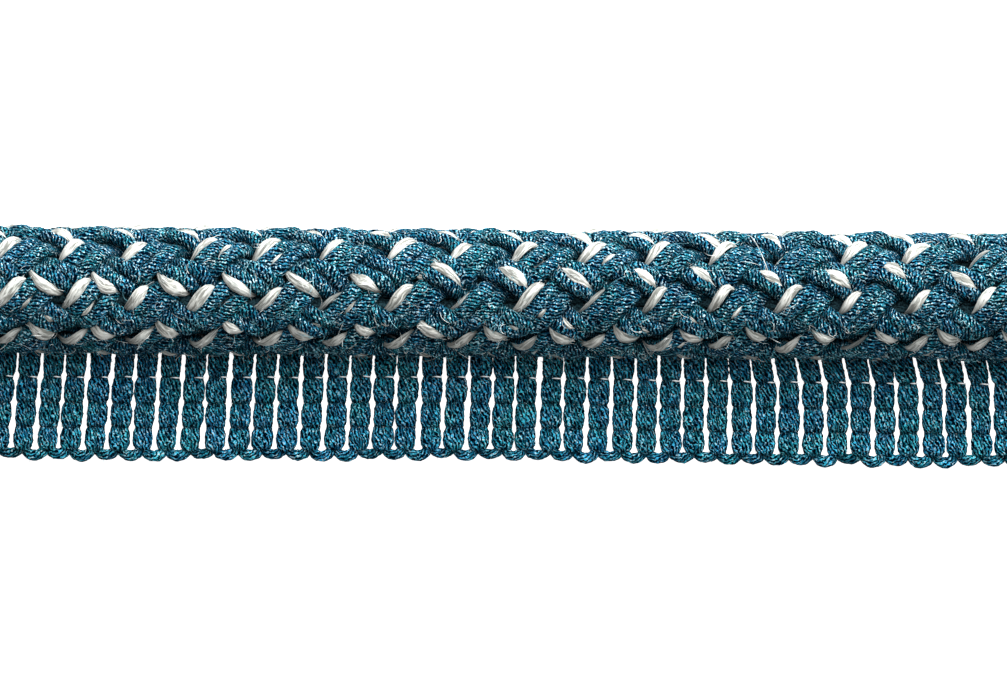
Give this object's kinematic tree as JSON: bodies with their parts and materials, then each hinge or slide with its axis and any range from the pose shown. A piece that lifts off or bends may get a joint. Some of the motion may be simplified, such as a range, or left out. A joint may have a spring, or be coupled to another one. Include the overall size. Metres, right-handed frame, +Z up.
{
  "type": "flanged decorative cord",
  "caption": "Round braided trimming cord in teal yarn with pale accent strands and a slotted knitted flange along its side for sewing into a seam, lying straight and cut square.",
  "frame": {"origin": "centre of the bounding box's lower face, on the surface that the cord lies on", "axes": "+X along the cord, +Y from the flange towards the cord, +Z up from the surface"},
  "size_m": [0.1093, 0.0217, 0.0116],
  "materials": {
    "braid_yarn": "twisted teal yarn with grey-white accent yarn",
    "flange_yarn": "twisted teal yarn, knitted"
  },
  "bodies": {
    "root": {"braided_cord": "braid_yarn", "flange": "flange_yarn"}
  },
  "joints": []
}
